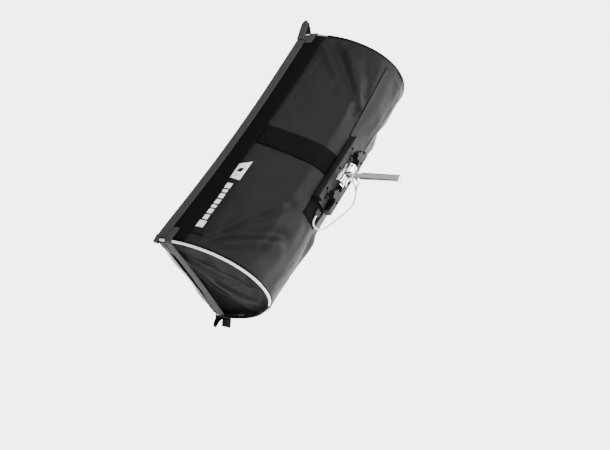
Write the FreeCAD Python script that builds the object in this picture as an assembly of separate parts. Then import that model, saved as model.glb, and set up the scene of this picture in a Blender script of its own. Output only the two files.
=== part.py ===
import FreeCAD, Part
import math
import os

from FreeCAD import Vector

os.makedirs("parts", exist_ok=True)

# A half-round cloth light bag for two tube lamps, on a two-rail bracket with a tilting
# stud. Millimetres. The origin is on the stud's axis at its shoulder, +Y runs out along
# the stud, X runs along the bag and +Z is the side that carries the label.

# Bag
bag_length = 560.0
bag_width = 226.0
bag_depth = 175.0  # from the seam piping's plane to the flat of the back
front_lip = 25.0  # straight hem in front of the seam piping's plane
back_flat = 32.0  # width of the flat that the bracket lies on
cloth = 1.2
lining_cloth = 0.8
panel_cloth = 1.2
strip_cloth = 1.7
clearance = 0.3  # between pieces that lie close or move past one another

# Sewn trim
piping_radius = 2.5
piping_lead = 19.0  # straight piping in front of its plane
webbing_cloth = 2.0
loop_strip_width = 44.0
side_strip_width = 50.0
rear_strip_width = 48.0
rear_strip_start = -82.0
rear_strip_end = 118.0
flap_width = 58.0
flap_start = -266.0
flap_cloth = 1.2
strap_width = 18.0
strap_cloth = 1.6
strap_leg = 26.0  # how far each end of the strap is folded back on the bag
strap_setback = 2.2  # from the piping's plane to the strap's front edge
hem_width = 14.0
hem_cloth = 1.8
tab_cloth = 3.0
tab_width = 13.2
tab_lean = 0.45  # share of its reach that a tab's back edge leans by
tab_reach = {"left_top": 42.0, "left_bottom": 18.0, "right_top": 12.0, "right_bottom": 20.0}
label_start = 72.0
label_length = 186.0
label_width = 28.0
label_cloth = 0.8
patch_length = 50.0
patch_cloth = 0.6

# Sprung front frame
rod_radius = 3.0
socket_size = 12.0
socket_leg = 24.0
socket_depth = 14.0
frame_setback = 14.0  # from the front edge to the rods' axes

# Front diffuser
diffuser_cloth = 1.0
border_cloth = 1.7
border_width = 20.0

# Stud and pivot
pin_radius = 7.94
pin_length = 90.0
pin_chamfer = 1.5
shoulder_radius = 12.0
shoulder_thickness = 4.0
neck_radius = 7.0
neck_length = 14.0
boss_radius = 9.0
barrel_length = 40.0
pivot_depth = 34.0  # from the shoulder to the pivot's axis
pivot_radius = 4.0
running_fit = 0.04

# Yoke
yoke_sheet = 2.8
yoke_width = 22.0
pivot_height = 15.0  # from the bracket's floor to the pivot's axis
bolt_head_radius = 6.5
bolt_head_height = 4.0
yoke_screw_place = 12.0
yoke_screw_head = 4.5
yoke_screw_shank = 2.5

# Bracket
bracket_length = 156.0
bracket_width = 54.0
base_thickness = 4.0
rail_height = 11.0
rail_slope = 2.7  # how far the channel between the rails widens on each side
rail_fall = 1.0  # how much lower each rail is at its outer edge
rail_edge = 1.2
rail_hole_radius = 2.75
rail_hole_spacing = 52.0

# Lamp clamps, one at each end of the bracket
clamp_place = 50.0
clamp_thread = 3.0
clamp_screw_length = 84.0
knob_radius = 11.0
knob_height = 12.0
knob_lobes = 6
knob_scoop_radius = 4.0
knob_scoop_depth = 2.4
knob_cap = 2.0  # closed end over the screw
knob_lift = 10.0  # from the bracket's floor to the knob
collar_radius = 5.0
washer_radius = 8.0
washer_thickness = 1.5
lamp_radius = 21.5
lamp_spacing = 60.0
lamp_crown = 7.5  # from the inner plate to the top of a lamp
clamp_width = 24.0
clamp_reach = 44.0
clamp_shoulder = 34.0
clamp_bar_reach = 40.0
clamp_bar_wall = 5.5
clamp_gap = 6.0  # between a saddle and its bar when the lamps are held
lining_gap = 1.7  # between the saddles and the lining
inner_plate_length = 140.0
inner_plate_width = 30.0
inner_plate_thickness = 3.0

# Safety cord
cord_diameter = 3.2
loop_inner_radius = 11.4
loop_hang = 4.0  # how far the loop hangs off the stud's axis
collar_length = 10.0
cord_collar_radius = 2.9
anchor_length = 14.0
anchor_width = 14.0
anchor_thickness = 5.0
anchor_end = 100.0

# Places that follow from the sizes
half_length = bag_length / 2
half_width = bag_width / 2
y_pivot = -pivot_depth
y_floor = y_pivot - pivot_height
y_base = y_floor - base_thickness
y_back = y_base - strip_cloth - clearance
y_piping = y_back - bag_depth
y_front = y_piping - front_lip
back_bulge = bag_depth / math.sqrt(1 - (back_flat / bag_width) ** 2)
lining_inset = cloth + clearance
y_inner_plate = y_back - lining_inset - lining_cloth - clearance
y_plate_front = y_inner_plate - inner_plate_thickness
y_frame = y_front + frame_setback
lamp_z = lamp_spacing / 2
yoke_half = yoke_width / 2
base_half = bracket_width / 2
bracket_half = bracket_length / 2
channel_half = yoke_half + clearance


def save(name, shape):
    shape.exportStep("parts/%s.step" % name)


def box(x0, x1, y0, y1, z0, z1):
    corner = Vector(min(x0, x1), min(y0, y1), min(z0, z1))
    return Part.makeBox(abs(x1 - x0), abs(y1 - y0), abs(z1 - z0), corner)


def rod(start, end, radius):
    run = end - start
    return Part.makeCylinder(radius, run.Length, start, run)


def rod_y(x, y0, y1, z, radius):
    return rod(Vector(x, y0, z), Vector(x, y1, z), radius)


def prism_x(points, x0, x1):
    """Solid with a polygon of (y, z) corners, drawn out from x0 to x1."""
    corners = [Vector(x0, y, z) for y, z in points]
    face = Part.Face(Part.makePolygon(corners + corners[:1]))
    return face.extrude(Vector(x1 - x0, 0, 0))


def prism_z(points, z0, z1):
    """Solid with a polygon of (x, y) corners, drawn out from z0 to z1."""
    corners = [Vector(x, y, z0) for x, y in points]
    face = Part.Face(Part.makePolygon(corners + corners[:1]))
    return face.extrude(Vector(0, 0, z1 - z0))


def ellipse_arc(x, across, deep, start, end):
    """Arc of the bag's section in the plane x. Angles are from +Y towards +Z."""
    centre = Vector(x, y_piping, 0)
    ellipse = Part.Ellipse(centre + Vector(0, deep, 0), centre + Vector(0, 0, across), centre)
    return Part.ArcOfEllipse(ellipse, start, end).toShape()


def bag_form(x0, x1, inset, front):
    """Half-round solid inside the bag's outside by inset, from x0 to x1."""
    across = half_width - inset
    deep = back_bulge - inset
    flat = math.acos((bag_depth - inset) / deep)
    right = math.pi / 2
    upper = ellipse_arc(x0, across, deep, flat, right)
    lower = ellipse_arc(x0, across, deep, -right, -flat)
    flat_y = y_piping + bag_depth - inset
    flat_z = across * math.sin(flat)
    back = Part.makeLine(Vector(x0, flat_y, -flat_z), Vector(x0, flat_y, flat_z))
    lip_upper = Part.makeLine(Vector(x0, y_piping, across), Vector(x0, front, across))
    mouth = Part.makeLine(Vector(x0, front, across), Vector(x0, front, -across))
    lip_lower = Part.makeLine(Vector(x0, front, -across), Vector(x0, y_piping, -across))
    wire = Part.Wire([lower, back, upper, lip_upper, mouth, lip_lower])
    return Part.Face(wire).extrude(Vector(x1 - x0, 0, 0))


def bag_skin(x0, x1, inset, thickness, front):
    """Open-fronted skin whose outside is inset from the bag's outside."""
    outer = bag_form(x0, x1, inset, front)
    inner = bag_form(x0 - 1, x1 + 1, inset + thickness, front - 1)
    return outer.cut(inner)


def lining_y(z):
    """Where the lining's inside is at the height z, behind the lamps."""
    inset = lining_inset + lining_cloth
    share = z / (half_width - inset)
    return y_piping + (back_bulge - inset) * math.sqrt(1 - share ** 2)


def outer_band(x0, x1, y0, y1, z0, z1, thickness):
    """Piece of a layer that lies on the outside of the bag, between the given limits."""
    layer = bag_skin(x0, x1, -clearance - thickness, thickness, y_front)
    return layer.common(box(x0, x1, y0, y1, z0, z1))


def sides():
    """The two long sides of the bag."""
    return (("top", 1), ("bottom", -1))


def ends():
    """The two ends of the bag."""
    return (("left", -1), ("right", 1))


# Shell and lining, with holes in the back for the two clamp screws
screw_holes = [rod_y(end * clamp_place, y_back - 20, y_back + 20, 0, clamp_thread + 1) for _, end in ends()]

shell = bag_skin(-half_length, half_length, 0, cloth, y_front)
for hole in screw_holes:
    shell = shell.cut(hole)
save("shell", shell)

lining_half = half_length - clearance
y_lining = y_frame + socket_size / 2 + clearance
lining = bag_skin(-lining_half, lining_half, lining_inset, lining_cloth, y_lining)
for hole in screw_holes:
    lining = lining.cut(hole)
save("lining", lining)

# Closed half-round ends, their seam piping, front hems, straps and corner tabs
panel_outside = half_length + panel_cloth
hem_outside = panel_outside + hem_cloth
piping_x = panel_outside + 0.05 + piping_radius
strap_x = piping_x + piping_radius + clearance
strap_z = half_width + clearance + strip_cloth + clearance
for side, end in ends():
    save("end_panel_" + side, bag_form(end * half_length, end * panel_outside, 0, y_front))

    x = end * piping_x
    across = half_width - piping_radius / 2
    arc = ellipse_arc(x, across, bag_depth, -math.pi / 2, math.pi / 2)
    leg_lower = Part.makeLine(Vector(x, y_piping - piping_lead, -across), Vector(x, y_piping, -across))
    leg_upper = Part.makeLine(Vector(x, y_piping, across), Vector(x, y_piping - piping_lead, across))
    path = Part.Wire([leg_lower, arc, leg_upper])
    round_start = Vector(x, y_piping - piping_lead, -across)
    section = Part.Wire(Part.makeCircle(piping_radius, round_start, Vector(0, 1, 0)))
    save("piping_" + side, path.makePipeShell([section], True, False))

    hem_z = half_width - piping_radius * 2 - clearance
    hem_y = y_front + hem_width
    save("hem_" + side, box(end * panel_outside, end * hem_outside, y_front, hem_y, -hem_z, hem_z))

    strap_y0 = y_piping - strap_setback
    strap_y1 = strap_y0 + strap_width
    outer = box(end * (half_length - strap_leg), end * (strap_x + strap_cloth), strap_y0, strap_y1,
                -strap_z - strap_cloth, strap_z + strap_cloth)
    inner = box(end * (half_length - strap_leg - 1), end * strap_x, strap_y0 - 1, strap_y1 + 1,
                -strap_z, strap_z)
    save("end_strap_" + side, outer.cut(inner))

    for edge, up in sides():
        reach = tab_reach["%s_%s" % (side, edge)]
        inside = end * hem_outside
        outline = [
            (inside, y_front),
            (inside + end * reach, y_front),
            (inside + end * reach * (1 - tab_lean), y_front + tab_width),
            (inside, y_front + tab_width),
        ]
        tab = prism_z(outline, up * hem_z, up * (hem_z - tab_cloth))
        save("corner_tab_%s_%s" % (side, edge), tab)

# Webbing on the long front edges and hook-and-loop strips on the outside
webbing_z0 = half_width + clearance
webbing_y1 = y_piping - clearance
strip_y1 = y_piping + loop_strip_width
side_y1 = y_back + strip_cloth + clearance
for side, up in sides():
    band = box(-half_length, half_length, y_front, webbing_y1, up * webbing_z0, up * (webbing_z0 + webbing_cloth))
    save("webbing_" + side, band)
    far = up * (half_width + 2 * strip_cloth)
    strip = outer_band(-half_length, half_length, y_piping, strip_y1, 0, far, strip_cloth)
    save("loop_strip_" + side, strip)
    near = up * (rear_strip_width / 2 + clearance)
    half = side_strip_width / 2
    strip = outer_band(-half, half, strip_y1 + clearance, side_y1, near, far, strip_cloth)
    save("side_strip_" + side, strip)

rear_half = rear_strip_width / 2
rear_strip = outer_band(rear_strip_start, rear_strip_end, strip_y1, side_y1, -rear_half, rear_half, strip_cloth)
for hole in screw_holes:
    rear_strip = rear_strip.cut(hole)
save("rear_strip", rear_strip)

flap_half = flap_width / 2
flap_end = rear_strip_start - clearance
save("rear_flap", outer_band(flap_start, flap_end, strip_y1, side_y1, -flap_half, flap_half, flap_cloth))

label_y0 = strip_y1 + clearance
label_y1 = label_y0 + label_width
label_end = label_start + label_length
tape = outer_band(label_start, label_end, label_y0, label_y1, 0, half_width + 5, label_cloth)
save("label_tape", tape)
patch_layer = bag_skin(label_start, label_end, -clearance - label_cloth - patch_cloth, patch_cloth, y_front)
patch_end = label_start + patch_length
patch = patch_layer.common(box(label_start, patch_end, label_y0, label_y1, 0, half_width + 5))
save("label_patch", patch)

# Sprung frame inside the front hem: four rods pushed into four corner sockets
socket_half = socket_size / 2
frame_x = half_length - clearance - socket_half
frame_z = half_width - cloth - clearance - socket_half
rod_inset = socket_leg - socket_half - socket_depth
long_half = frame_x - rod_inset
short_half = frame_z - rod_inset
for side, up in sides():
    z = up * frame_z
    save("frame_rod_" + side, rod(Vector(-long_half, y_frame, z), Vector(long_half, y_frame, z), rod_radius))
for side, end in ends():
    x = end * frame_x
    save("frame_rod_" + side, rod(Vector(x, y_frame, -short_half), Vector(x, y_frame, short_half), rod_radius))
    for edge, up in sides():
        z = up * frame_z
        y0 = y_frame - socket_half
        y1 = y_frame + socket_half
        corner_x = end * (frame_x + socket_half)
        corner_z = up * (frame_z + socket_half)
        long_leg = box(corner_x, corner_x - end * socket_leg, y0, y1, corner_z, corner_z - up * socket_size)
        short_leg = box(corner_x, corner_x - end * socket_size, y0, y1, corner_z, corner_z - up * socket_leg)
        socket = long_leg.fuse(short_leg).removeSplitter()
        socket = socket.cut(rod(Vector(end * long_half, y_frame, z), Vector(0, y_frame, z), rod_radius))
        socket = socket.cut(rod(Vector(x, y_frame, up * short_half), Vector(x, y_frame, 0), rod_radius))
        save("corner_socket_%s_%s" % (side, edge), socket)

# Front diffuser: a cloth with a hook border that presses into the mouth
cloth_back = y_front - clearance
sheet = box(-half_length, half_length, cloth_back - diffuser_cloth, cloth_back, -half_width, half_width)
save("diffuser", sheet)
border_x = half_length - 2 * clearance
border_z = half_width - cloth - 2 * clearance
border = box(-border_x, border_x, cloth_back, cloth_back + border_cloth, -border_z, border_z)
window_x = border_x - border_width
window_z = border_z - border_width
window = box(-window_x, window_x, cloth_back - 1, cloth_back + border_cloth + 1, -window_z, window_z)
save("diffuser_border", border.cut(window))

# Stud: pin, shoulder, neck and a cross barrel that turns on the pivot bolt
pin = rod_y(0, 0, pin_length, 0, pin_radius)
tip = [edge for edge in pin.Edges if abs(edge.BoundBox.YMin - pin_length) < 0.01]
stud = pin.makeChamfer(pin_chamfer, tip)
y_neck = -shoulder_thickness - neck_length
barrel_half = barrel_length / 2
barrel_end = Vector(barrel_half, y_pivot, 0)
bore_start = Vector(-barrel_half, y_pivot, 0)
stud = stud.fuse([
    rod_y(0, -shoulder_thickness, 0, 0, shoulder_radius),
    rod_y(0, y_neck, -shoulder_thickness, 0, neck_radius),
    rod_y(0, y_pivot, y_neck, 0, boss_radius),
    rod(bore_start, barrel_end, boss_radius),
]).removeSplitter()
stud = stud.cut(rod(bore_start, barrel_end, pivot_radius + running_fit))
save("stud", stud)

# Yoke: a folded plate with an ear at each end of the barrel
ear_x0 = barrel_half + clearance
ear_x1 = ear_x0 + yoke_sheet
yoke = box(-ear_x1, ear_x1, y_floor, y_floor + yoke_sheet, -yoke_half, yoke_half)
for _, end in ends():
    ear = box(end * ear_x0, end * ear_x1, y_floor, y_pivot, -yoke_half, yoke_half)
    round_end = rod(Vector(end * ear_x0, y_pivot, 0), Vector(end * ear_x1, y_pivot, 0), yoke_half)
    yoke = yoke.fuse([ear, round_end])
yoke = yoke.removeSplitter()
yoke = yoke.cut(rod(Vector(-ear_x1, y_pivot, 0), Vector(ear_x1, y_pivot, 0), pivot_radius))

bracket_base = box(-bracket_half, bracket_half, y_base, y_floor, -base_half, base_half)
for side, end in ends():
    x = end * yoke_screw_place
    head = rod_y(x, y_floor, y_floor + yoke_sheet, 0, yoke_screw_head)
    shank = rod_y(x, y_base, y_floor, 0, yoke_screw_shank)
    yoke = yoke.cut(head)
    bracket_base = bracket_base.cut(shank)
    save("yoke_screw_" + side, head.fuse(shank))
save("yoke", yoke)

nut_x = ear_x1 + bolt_head_height
bolt = rod(Vector(-ear_x1, y_pivot, 0), Vector(nut_x, y_pivot, 0), pivot_radius)
bolt_head = rod(Vector(-nut_x, y_pivot, 0), Vector(-ear_x1, y_pivot, 0), bolt_head_radius)
save("pivot_bolt", bolt.fuse(bolt_head))
hexagon = [
    (y_pivot + bolt_head_radius * math.cos(turn), bolt_head_radius * math.sin(turn))
    for turn in (math.radians(60 * corner) for corner in range(6))
]
nut = prism_x(hexagon, ear_x1, nut_x)
save("pivot_nut", nut.cut(rod(Vector(ear_x1, y_pivot, 0), Vector(nut_x, y_pivot, 0), pivot_radius)))

# Bracket: a base plate and two rails, with a line of three holes through each rail
face_start = channel_half + rail_slope
hole_z = (face_start + base_half) / 2
hole_places = [step * rail_hole_spacing for step in (-1, 0, 1)]
rail_holes = {
    up: [rod_y(x, y_base - 1, y_floor + rail_height + 1, up * hole_z, rail_hole_radius) for x in hole_places]
    for _, up in sides()
}
for side, up in sides():
    rail_top = y_floor + rail_height
    profile = [
        (y_floor, up * base_half),
        (rail_top - rail_fall - rail_edge, up * base_half),
        (rail_top - rail_fall, up * (base_half - rail_edge)),
        (rail_top, up * (face_start + rail_edge)),
        (rail_top - rail_edge, up * face_start),
        (y_floor, up * channel_half),
    ]
    rail = prism_x(profile, -bracket_half, bracket_half)
    for hole in rail_holes[up]:
        rail = rail.cut(hole)
        bracket_base = bracket_base.cut(hole)
    save("rail_" + side, rail)
for _, end in ends():
    bracket_base = bracket_base.cut(rod_y(end * clamp_place, y_base, y_floor, 0, clamp_thread + clearance))
save("bracket_base", bracket_base)

# Plate inside the bag that the bracket is pulled against
plate_half = inner_plate_length / 2
inner_plate = box(-plate_half, plate_half, y_plate_front, y_inner_plate,
                  -inner_plate_width / 2, inner_plate_width / 2)
for _, end in ends():
    hole = rod_y(end * clamp_place, y_plate_front, y_inner_plate, 0, clamp_thread + clearance)
    inner_plate = inner_plate.cut(hole)
save("inner_plate", inner_plate)

# Lamp clamps: a saddle, a bar, and a knob whose screw draws the bar to the saddle. The
# lamps lie below the plate, or further forward where a narrow bag's lining needs it.
lamp_slant = lamp_radius * math.sin(math.pi / 4)
y_lamp = min(
    y_plate_front - lamp_crown - lamp_radius,
    lining_y(lamp_z + lamp_slant) - 2 * lining_gap - lamp_slant,
)
knob_y0 = y_floor + knob_lift
knob_y1 = knob_y0 + knob_height
for side, end in ends():
    x = end * clamp_place
    x0 = x - clamp_width / 2
    x1 = x + clamp_width / 2
    lamps = [
        rod(Vector(x0, y_lamp, up * lamp_z), Vector(x1, y_lamp, up * lamp_z), lamp_radius)
        for _, up in sides()
    ]
    upper_half = [
        (y_plate_front, inner_plate_width / 2),
        (lining_y(clamp_shoulder) - lining_gap, clamp_shoulder),
        (lining_y(clamp_reach) - lining_gap, clamp_reach),
        (y_lamp + clamp_gap / 3, clamp_reach),
    ]
    lower_half = [(y, -z) for y, z in reversed(upper_half)]
    saddle = prism_x(upper_half + lower_half, x0, x1)
    bar_front = y_lamp - lamp_radius - clamp_bar_wall
    bar_back = y_lamp + clamp_gap / 3 - clamp_gap
    bar = box(x0, x1, bar_front, bar_back, -clamp_bar_reach, clamp_bar_reach)
    for lamp in lamps:
        saddle = saddle.cut(lamp)
        bar = bar.cut(lamp)
    bar_web = box(x0, x1, bar_front, bar_back, -lamp_z, lamp_z)
    bar_wings = box(x0, x1, bar_front, y_lamp - lamp_radius / 2, -clamp_bar_reach, clamp_bar_reach)
    bar = bar.common(bar_web.fuse(bar_wings))
    saddle = saddle.cut(rod_y(x, y_lamp, y_plate_front, 0, clamp_thread + clearance))
    bar = bar.cut(rod_y(x, bar_front, bar_back, 0, clamp_thread + running_fit))
    save("saddle_" + side, saddle)
    save("clamp_bar_" + side, bar)

    y_washer = y_floor + washer_thickness
    washer = rod_y(x, y_floor, y_washer, 0, washer_radius)
    save("knob_washer_" + side, washer.cut(rod_y(x, y_floor, y_washer, 0, clamp_thread + clearance)))

    screw = rod_y(x, knob_y1 - clamp_screw_length, knob_y1 - knob_cap, 0, clamp_thread)
    collar = rod_y(x, y_washer + clearance, knob_y0, 0, collar_radius)
    screw = screw.fuse(collar).removeSplitter()
    save("clamp_screw_" + side, screw)

    knob = rod_y(x, knob_y0, knob_y1, 0, knob_radius)
    for lobe in range(knob_lobes):
        turn = 2 * math.pi * lobe / knob_lobes
        away = knob_radius + knob_scoop_radius - knob_scoop_depth
        scoop_x = x + away * math.cos(turn)
        scoop_z = away * math.sin(turn)
        knob = knob.cut(rod_y(scoop_x, knob_y0, knob_y1, scoop_z, knob_scoop_radius))
    knob = knob.cut(rod_y(x, knob_y0, knob_y1 - knob_cap, 0, clamp_thread))
    save("clamp_knob_" + side, knob)

# Safety cord: a loop round the stud's neck, a sewn anchor and the run between them
hang = Vector(0.743, 0, -0.669)
loop_y = y_neck / 2
loop_centre = Vector(0, loop_y, 0) + hang * loop_hang
cord_radius = cord_diameter / 2
loop_radius = loop_inner_radius + cord_radius
ring = Part.makeTorus(loop_radius, cord_radius, loop_centre, Vector(0, 1, 0))
collar_start = Vector(0, loop_y, 0) + hang * (loop_hang + loop_radius)
cord_end = collar_start + hang * collar_length
save("cord_loop", ring.fuse(rod(collar_start, cord_end, cord_collar_radius)))

y_strip_outside = y_back + clearance + strip_cloth
anchor_z = -5.0
anchor = box(anchor_end - anchor_length, anchor_end, y_strip_outside, y_strip_outside + anchor_thickness,
             anchor_z - anchor_width / 2, anchor_z + anchor_width / 2)
save("cord_anchor", anchor)

cord_start = Vector(anchor_end, y_strip_outside + anchor_thickness / 2, anchor_z)
route = [
    cord_start,
    Vector(122, -50.5, -5),
    Vector(123.5, -34, -21),
    Vector(92, -24, -27),
    Vector(62, -17, -33),
    Vector(37.9, -9, -34.1),
    cord_end,
]
edges = []
here = route[0]
for before, corner, after in zip(route, route[1:], route[2:]):
    back = before - corner
    ahead = after - corner
    reach = 0.45 * min(back.Length, ahead.Length)
    turn = math.pi - back.getAngle(ahead)
    bend_radius = reach / math.tan(turn / 2)
    print("cord bend %.1f degrees, radius %.1f mm" % (math.degrees(turn), bend_radius))
    start = corner + back.normalize() * reach
    end = corner + ahead.normalize() * reach
    to_middle = (back + ahead).normalize()
    middle = corner + to_middle * (bend_radius / math.cos(turn / 2) - bend_radius)
    edges.append(Part.makeLine(here, start))
    edges.append(Part.Arc(start, middle, end).toShape())
    here = end
edges.append(Part.makeLine(here, route[-1]))
cord_path = Part.Wire(edges)
cord_section = Part.Wire(Part.makeCircle(cord_radius, route[0], route[1] - route[0]))
cord = cord_path.makePipeShell([cord_section], True, False)
cord_volume = math.pi * cord_radius ** 2 * cord_path.Length
print("cord length %.1f mm, volume %.1f of %.1f mm3" % (cord_path.Length, cord.Volume, cord_volume))
save("safety_cord", cord)
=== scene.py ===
import math

import bpy
import numpy as np
from mathutils import Matrix, Vector, noise


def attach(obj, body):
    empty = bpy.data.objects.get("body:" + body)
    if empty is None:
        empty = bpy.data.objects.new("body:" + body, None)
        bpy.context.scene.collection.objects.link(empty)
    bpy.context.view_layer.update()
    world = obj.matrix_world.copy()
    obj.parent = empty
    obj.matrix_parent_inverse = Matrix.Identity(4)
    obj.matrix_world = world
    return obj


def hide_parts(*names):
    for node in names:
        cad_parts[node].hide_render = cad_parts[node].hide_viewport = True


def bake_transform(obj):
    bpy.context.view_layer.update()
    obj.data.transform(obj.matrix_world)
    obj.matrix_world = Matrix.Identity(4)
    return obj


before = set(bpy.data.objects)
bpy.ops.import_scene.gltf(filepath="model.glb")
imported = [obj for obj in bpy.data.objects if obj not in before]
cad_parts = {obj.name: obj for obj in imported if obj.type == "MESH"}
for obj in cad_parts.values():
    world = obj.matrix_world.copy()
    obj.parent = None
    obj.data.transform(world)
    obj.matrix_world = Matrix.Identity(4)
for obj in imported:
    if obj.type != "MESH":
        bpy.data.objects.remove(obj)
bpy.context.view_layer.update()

# ---------------------------------------------------------------------------
# Camera. It looks down at the bag's back, its right end and its labelled side. Its three
# directions are unit vectors in the part's own space.
view_right = Vector((-0.46903, 0.77085, -0.43105))
view_up = Vector((-0.74196, -0.07918, 0.66575))
view_back = Vector((0.47906, 0.63208, 0.60908))
camera_data = bpy.data.cameras.new("camera")
camera_data.sensor_width = 36.0
camera_data.lens = 61.97
camera_data.clip_end = 60.0
camera = bpy.data.objects.new("camera", camera_data)
view_turn = Matrix((view_right, view_up, view_back)).transposed().to_4x4()
camera.matrix_world = Matrix.Translation((1.056, 1.167, 1.180)) @ view_turn
bpy.context.scene.collection.objects.link(camera)
bpy.context.scene.camera = camera

# ---------------------------------------------------------------------------
# Safety cord: a limp white braided cord, sewn to the bag's rear strip and looped on the stud's
# neck. It hangs in one bight behind the bracket's end.


def clean_start():
    if bpy.context.object and bpy.context.object.mode != "OBJECT":
        bpy.ops.object.mode_set(mode="OBJECT")
    bpy.ops.object.select_all(action="DESELECT")


def cloth(
    name, colour, roughness, thread, relief, mottle=0.2, sheen=0.0, crease=0.0, specular=0.3, blotch=26.0, ior=1.45
):
    """A woven cloth: two crossed sets of threads a thread apart, soft mottling and small creases,
    in the piece's own flat measure in metres."""
    material = bpy.data.materials.new(name)
    material.use_nodes = True
    nodes, link = material.node_tree.nodes, material.node_tree.links.new
    shader = nodes["Principled BSDF"]
    shader.inputs["Roughness"].default_value = roughness
    shader.inputs["Specular IOR Level"].default_value = specular
    shader.inputs["IOR"].default_value = ior
    shader.inputs["Sheen Weight"].default_value = sheen
    shader.inputs["Sheen Roughness"].default_value = 0.5
    flat = nodes.new("ShaderNodeTexCoord").outputs["UV"]
    wave_scale = 0.314  # one wave a metre
    threads = nodes.new("ShaderNodeMath")
    threads.operation = "MAXIMUM"
    for number, direction in enumerate(("X", "Y")):
        wave = nodes.new("ShaderNodeTexWave")
        wave.bands_direction = direction
        wave.inputs["Scale"].default_value = wave_scale / thread
        wave.inputs["Distortion"].default_value = 0.5
        link(flat, wave.inputs["Vector"])
        link(wave.outputs["Fac"], threads.inputs[number])
    patches = nodes.new("ShaderNodeTexNoise")
    patches.inputs["Scale"].default_value = blotch
    patches.inputs["Detail"].default_value = 6.0
    patches.inputs["Roughness"].default_value = 0.6
    link(flat, patches.inputs["Vector"])
    tone = nodes.new("ShaderNodeMix")
    tone.data_type = "RGBA"
    tone.inputs["A"].default_value = tuple(c * (1 - mottle) for c in colour) + (1.0,)
    tone.inputs["B"].default_value = tuple(min(1.0, c * (1 + mottle)) for c in colour) + (1.0,)
    link(patches.outputs["Fac"], tone.inputs["Factor"])
    link(tone.outputs["Result"], shader.inputs["Base Color"])
    fine = nodes.new("ShaderNodeBump")
    fine.inputs["Strength"].default_value = relief
    fine.inputs["Distance"].default_value = thread * 0.5
    link(threads.outputs[0], fine.inputs["Height"])
    broad = nodes.new("ShaderNodeBump")
    broad.inputs["Strength"].default_value = crease
    broad.inputs["Distance"].default_value = 0.003
    link(patches.outputs["Fac"], broad.inputs["Height"])
    link(broad.outputs["Normal"], fine.inputs["Normal"])
    link(fine.outputs["Normal"], shader.inputs["Normal"])
    return material


def mesh_from(name, rows, material, uv=None, closed=False):
    """A cloth mesh from rows of points, each an array of (across, 3). Its flat measure is kept as
    a UV map in metres."""
    rows = np.asarray(rows, float)
    count, across = rows.shape[:2]
    last = across if closed else across - 1
    faces = [
        (
            i * across + j,
            i * across + (j + 1) % across,
            (i + 1) * across + (j + 1) % across,
            (i + 1) * across + j,
        )
        for i in range(count - 1)
        for j in range(last)
    ]
    mesh = bpy.data.meshes.new(name)
    mesh.from_pydata(rows.reshape(-1, 3).tolist(), [], faces)
    mesh.update()
    if uv is None:
        along = np.concatenate([[0], np.cumsum(np.linalg.norm(np.diff(rows[:, 0], axis=0), axis=1))])
        side = np.concatenate([[0], np.cumsum(np.linalg.norm(np.diff(rows[0], axis=0), axis=1))])
        uv = np.stack(np.meshgrid(along, side, indexing="ij"), axis=-1)
    layer = mesh.uv_layers.new(name="flat")
    index = np.zeros(len(mesh.loops), int)
    mesh.loops.foreach_get("vertex_index", index)
    layer.data.foreach_set("uv", np.asarray(uv, float).reshape(-1, 2)[index].ravel())
    piece = bpy.data.objects.new(name, mesh)
    bpy.context.scene.collection.objects.link(piece)
    mesh.materials.append(material)
    for polygon in mesh.polygons:
        polygon.use_smooth = True
    return piece


def tube(name, line, radius, sides, material):
    """A round tube along a line, with turning-free rings and closed ends."""
    line = [Vector(p) for p in line]
    rings = []
    normal = None
    for i, p in enumerate(line):
        ahead = (line[min(i + 1, len(line) - 1)] - line[max(i - 1, 0)]).normalized()
        if normal is None:
            normal = ahead.orthogonal().normalized()
        normal = (normal - ahead * normal.dot(ahead)).normalized()
        other = ahead.cross(normal)
        turns = [2 * math.pi * k / sides for k in range(sides)]
        rings.append([p + (normal * math.cos(a) + other * math.sin(a)) * radius for a in turns])
    tip = 0.45
    rings.insert(0, [rings[0][k].lerp(line[0], tip) for k in range(sides)])
    rings.append([rings[-1][k].lerp(line[-1], tip) for k in range(sides)])
    piece = mesh_from(name, np.array([[list(p) for p in ring] for ring in rings]), material, closed=True)
    clean_start()
    piece.select_set(True)
    bpy.context.view_layer.objects.active = piece
    bpy.ops.object.mode_set(mode="EDIT")
    bpy.ops.mesh.select_all(action="SELECT")
    bpy.ops.mesh.fill_holes(sides=0)
    bpy.ops.mesh.normals_make_consistent(inside=False)
    bpy.ops.object.mode_set(mode="OBJECT")
    return piece


cord_white = cloth("braided_cord", (0.80, 0.80, 0.78), 0.6, 0.0011, 0.5, mottle=0.06, sheen=0.2)
cord_diameter = 0.0032
cord_route = [
    (0.100, -0.0505, -0.0050),
    (0.122, -0.0505, -0.0050),
    (0.1235, -0.034, -0.0210),
    (0.092, -0.024, -0.0270),
    (0.062, -0.017, -0.0330),
    (0.0379, -0.009, -0.0341),
    (0.02006, -0.009, -0.01806),
]
cord_curve = bpy.data.curves.new("cord_line", "CURVE")
cord_curve.dimensions = "3D"
cord_spline = cord_curve.splines.new("NURBS")
cord_spline.points.add(len(cord_route) - 1)
for point, place in zip(cord_spline.points, cord_route):
    point.co = place + (1.0,)
cord_spline.order_u = 3
cord_spline.use_endpoint_u = True
cord_spline.resolution_u = 14
cord_holder = bpy.data.objects.new("cord_line", cord_curve)
bpy.context.scene.collection.objects.link(cord_holder)
bpy.context.view_layer.update()
cord_read = bpy.data.meshes.new_from_object(cord_holder)
cord_line = [v.co.copy() for v in cord_read.vertices]
bpy.data.objects.remove(cord_holder)
safety_cord = tube("safety_cord_braided", cord_line, cord_diameter / 2, 14, cord_white)
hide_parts("safety_cord")
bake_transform(safety_cord)

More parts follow.
